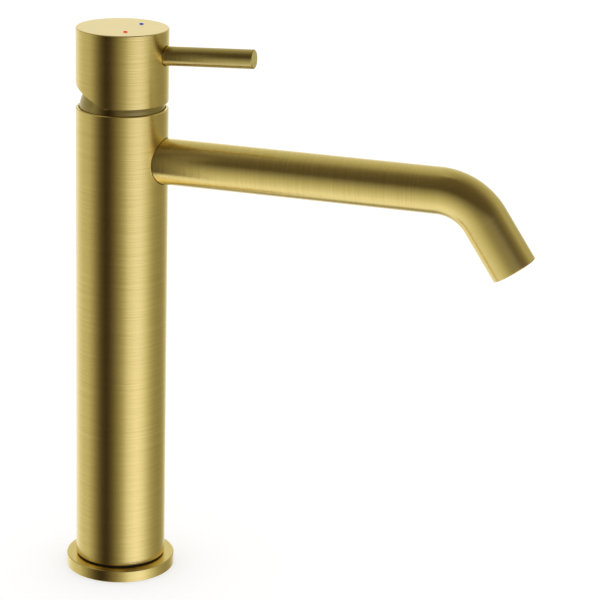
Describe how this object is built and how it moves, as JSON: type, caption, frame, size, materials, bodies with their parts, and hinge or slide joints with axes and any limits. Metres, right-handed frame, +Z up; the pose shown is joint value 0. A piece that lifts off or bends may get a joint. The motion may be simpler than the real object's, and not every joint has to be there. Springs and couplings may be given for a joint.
{
  "type": "tall single-lever basin mixer",
  "caption": "Tall round basin mixer with a straight tubular spout turned down at its end and a pin lever on a cap that turns and tilts.",
  "frame": {"origin": "centre of the base ring on the deck surface, on the column's axis", "axes": "+Z up along the column, +X along the spout, +Y towards the cold side"},
  "size_m": [0.2497, 0.0582, 0.297],
  "materials": {
    "brushed_gold": "finely brushed gold plating",
    "blackened_brass": "blackened, machined",
    "plain_brass": "machined",
    "seal_rubber": "moulded rubber",
    "cartridge_plastic": "moulded acetal",
    "ceramic": "lapped alumina ceramic",
    "steel": "stainless steel",
    "dark_plastic": "moulded acetal",
    "red_enamel": "filled enamel dot",
    "blue_enamel": "filled enamel dot"
  },
  "bodies": {
    "root": {"base_ring": "brushed_gold", "deck_gasket": "seal_rubber", "base_insert": "blackened_brass", "column_tube": "brushed_gold", "valve_body": "plain_brass", "body_o_rings": "seal_rubber", "cartridge_seal": "seal_rubber", "cartridge_base": "cartridge_plastic", "fixed_disc": "ceramic", "cartridge_housing": "cartridge_plastic", "friction_ring": "cartridge_plastic", "cartridge_nut": "plain_brass", "neck_dome": "brushed_gold", "spout_nipple": "plain_brass", "spout_o_rings": "seal_rubber", "spout_tube": "brushed_gold", "aerator_gasket": "seal_rubber", "aerator_screens": "steel", "aerator_core": "dark_plastic", "aerator_housing": "brushed_gold"},
    "turret": {"turret": "cartridge_plastic", "pivot_pin": "steel"},
    "disc_slide": {"moving_disc": "ceramic", "disc_carrier": "cartridge_plastic"},
    "handle": {"handle_stem": "steel", "handle_cap": "brushed_gold", "cap_grub_screw": "steel", "lever_pin": "brushed_gold", "hot_dot": "red_enamel", "cold_dot": "blue_enamel"}
  },
  "joints": [
    {"name": "temperature_turn", "type": "hinge", "parent": "root", "child": "turret", "pos_m": [0, 0, 0.253], "axis": [0, 0, 1], "range_deg": [-45, 45]},
    {"name": "lever_lift", "type": "hinge", "parent": "turret", "child": "handle", "pos_m": [0, 0, 0.253], "axis": [0, -1, 0], "range_deg": [0, 24]},
    {"name": "disc_slide", "type": "slide", "parent": "turret", "child": "disc_slide", "axis": [1, 0, 0], "range_m": [0, 0.00256]}
  ],
  "couplings": [
    {"joint": "disc_slide", "follows": "lever_lift", "m_per_rad": 0.0056319}
  ]
}
